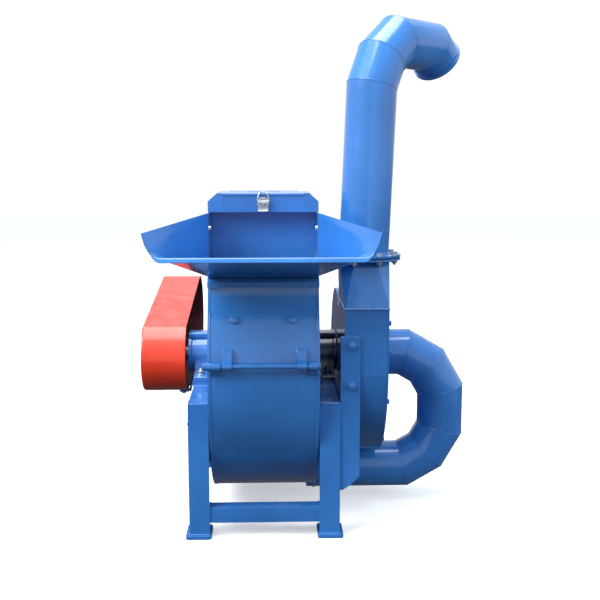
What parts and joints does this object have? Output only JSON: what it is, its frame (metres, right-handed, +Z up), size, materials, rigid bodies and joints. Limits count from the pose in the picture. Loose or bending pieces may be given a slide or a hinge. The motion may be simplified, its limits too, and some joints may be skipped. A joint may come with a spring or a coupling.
{
  "type": "hammer mill",
  "caption": "Floor standing hammer mill with a flared feed hopper, swinging hammer rotor, belt guard, suction bend and blower with a tall discharge elbow.",
  "frame": {"origin": "centre of the overall bounding box, on the floor", "axes": "+Z up; +X along the rotor shaft from the belt guard to the blower; +Y away from the feeding side"},
  "size_m": [0.983, 1.2528, 1.442],
  "materials": {
    "blue_enamel": "gloss enamel on mild steel sheet",
    "red_enamel": "gloss enamel on thin steel sheet",
    "dark_enamel": "dark blue enamel on a cast housing",
    "zinc_plate": "bright zinc plate",
    "turned_steel": "turned steel",
    "wear_steel": "hot rolled wear steel",
    "cast_iron": "cast iron, rough",
    "rubber": "black sheet rubber"
  },
  "bodies": {
    "machine": {"frame_left": "blue_enamel", "frame_right": "blue_enamel", "front_stretcher": "blue_enamel", "rear_stretcher": "blue_enamel", "foot_front_left": "blue_enamel", "foot_front_right": "blue_enamel", "foot_rear_left": "blue_enamel", "foot_rear_right": "blue_enamel", "lower_casing": "blue_enamel", "screen": "wear_steel", "hinge_rod": "blue_enamel", "bearing_housing_left": "blue_enamel", "bearing_housing_right": "dark_enamel", "bearing_left": "turned_steel", "bearing_right": "turned_steel", "belt_guard": "red_enamel", "fan_housing": "blue_enamel", "fan_inlet_plate": "blue_enamel", "fan_support_plate": "blue_enamel", "outlet_transition": "blue_enamel", "duct_gasket": "rubber", "discharge_pipe": "blue_enamel", "suction_bend": "blue_enamel"},
    "upper_casing": {"upper_casing": "blue_enamel", "liner_plate": "wear_steel", "hopper_throat": "blue_enamel", "feed_tray": "blue_enamel", "hopper_wing_left": "blue_enamel", "hopper_wing_right": "blue_enamel", "hood": "blue_enamel", "lid_hinge_pin": "zinc_plate", "latch_base": "zinc_plate"},
    "hood_lid": {"hood_lid": "blue_enamel"},
    "latch_lever": {"latch_lever": "zinc_plate"},
    "latch_bail": {"latch_bail": "turned_steel"},
    "swing_bolt_left": {"swing_bolt_left": "zinc_plate"},
    "swing_bolt_right": {"swing_bolt_right": "zinc_plate"},
    "rotor": {"main_shaft": "turned_steel", "rotor_disc_1": "wear_steel", "rotor_disc_2": "wear_steel", "rotor_disc_3": "wear_steel", "hammer_pin_1": "turned_steel", "hammer_pin_2": "turned_steel", "hammer_pin_3": "turned_steel", "hammer_pin_4": "turned_steel", "mill_pulley": "cast_iron", "fan_impeller": "cast_iron"},
    "hammer_1a": {"hammer_1a": "wear_steel"},
    "hammer_1b": {"hammer_1b": "wear_steel"},
    "hammer_1c": {"hammer_1c": "wear_steel"},
    "hammer_2a": {"hammer_2a": "wear_steel"},
    "hammer_2b": {"hammer_2b": "wear_steel"},
    "hammer_2c": {"hammer_2c": "wear_steel"},
    "hammer_3a": {"hammer_3a": "wear_steel"},
    "hammer_3b": {"hammer_3b": "wear_steel"},
    "hammer_3c": {"hammer_3c": "wear_steel"},
    "hammer_4a": {"hammer_4a": "wear_steel"},
    "hammer_4b": {"hammer_4b": "wear_steel"},
    "hammer_4c": {"hammer_4c": "wear_steel"}
  },
  "joints": [
    {"name": "rotor_spin", "type": "hinge", "parent": "machine", "child": "rotor", "pos_m": [-0.1235, -0.06339, 0.456], "axis": [1, 0, 0], "continuous": true},
    {"name": "upper_casing_open", "type": "hinge", "parent": "machine", "child": "upper_casing", "pos_m": [-0.1235, -0.47739, 0.502], "axis": [1, 0, 0], "range_deg": [0, 90]},
    {"name": "hood_lid_open", "type": "hinge", "parent": "upper_casing", "child": "hood_lid", "pos_m": [-0.1235, -0.11789, 0.947], "axis": [-1, 0, 0], "range_deg": [0, 105]},
    {"name": "latch_lever_lift", "type": "hinge", "parent": "upper_casing", "child": "latch_lever", "pos_m": [-0.1235, -0.33219, 0.928], "axis": [-1, 0, 0], "range_deg": [0, 90]},
    {"name": "latch_bail_turn", "type": "hinge", "parent": "latch_lever", "child": "latch_bail", "pos_m": [-0.1235, -0.33419, 0.9195], "axis": [1, 0, 0], "range_deg": [0, 90]},
    {"name": "swing_bolt_left_drop", "type": "hinge", "parent": "machine", "child": "swing_bolt_left", "pos_m": [-0.2155, 0.35061, 0.444], "axis": [-1, 0, 0], "range_deg": [0, 105]},
    {"name": "swing_bolt_right_drop", "type": "hinge", "parent": "machine", "child": "swing_bolt_right", "pos_m": [-0.0315, 0.35061, 0.444], "axis": [-1, 0, 0], "range_deg": [0, 105]},
    {"name": "hammer_1a_swing", "type": "hinge", "parent": "rotor", "child": "hammer_1a", "pos_m": [-0.1235, 0.05682, 0.57621], "axis": [1, 0, 0], "range_deg": [-150, 150]},
    {"name": "hammer_1b_swing", "type": "hinge", "parent": "rotor", "child": "hammer_1b", "pos_m": [-0.1235, 0.05682, 0.57621], "axis": [1, 0, 0], "range_deg": [-150, 150]},
    {"name": "hammer_1c_swing", "type": "hinge", "parent": "rotor", "child": "hammer_1c", "pos_m": [-0.1235, 0.05682, 0.57621], "axis": [1, 0, 0], "range_deg": [-150, 150]},
    {"name": "hammer_2a_swing", "type": "hinge", "parent": "rotor", "child": "hammer_2a", "pos_m": [-0.1235, -0.1836, 0.57621], "axis": [1, 0, 0], "range_deg": [-150, 150]},
    {"name": "hammer_2b_swing", "type": "hinge", "parent": "rotor", "child": "hammer_2b", "pos_m": [-0.1235, -0.1836, 0.57621], "axis": [1, 0, 0], "range_deg": [-150, 150]},
    {"name": "hammer_2c_swing", "type": "hinge", "parent": "rotor", "child": "hammer_2c", "pos_m": [-0.1235, -0.1836, 0.57621], "axis": [1, 0, 0], "range_deg": [-150, 150]},
    {"name": "hammer_3a_swing", "type": "hinge", "parent": "rotor", "child": "hammer_3a", "pos_m": [-0.1235, -0.1836, 0.33579], "axis": [1, 0, 0], "range_deg": [-150, 150]},
    {"name": "hammer_3b_swing", "type": "hinge", "parent": "rotor", "child": "hammer_3b", "pos_m": [-0.1235, -0.1836, 0.33579], "axis": [1, 0, 0], "range_deg": [-150, 150]},
    {"name": "hammer_3c_swing", "type": "hinge", "parent": "rotor", "child": "hammer_3c", "pos_m": [-0.1235, -0.1836, 0.33579], "axis": [1, 0, 0], "range_deg": [-150, 150]},
    {"name": "hammer_4a_swing", "type": "hinge", "parent": "rotor", "child": "hammer_4a", "pos_m": [-0.1235, 0.05682, 0.33579], "axis": [1, 0, 0], "range_deg": [-150, 150]},
    {"name": "hammer_4b_swing", "type": "hinge", "parent": "rotor", "child": "hammer_4b", "pos_m": [-0.1235, 0.05682, 0.33579], "axis": [1, 0, 0], "range_deg": [-150, 150]},
    {"name": "hammer_4c_swing", "type": "hinge", "parent": "rotor", "child": "hammer_4c", "pos_m": [-0.1235, 0.05682, 0.33579], "axis": [1, 0, 0], "range_deg": [-150, 150]}
  ],
  "couplings": [
    {"joint": "latch_bail_turn", "follows": "latch_lever_lift", "ratio": 1}
  ]
}
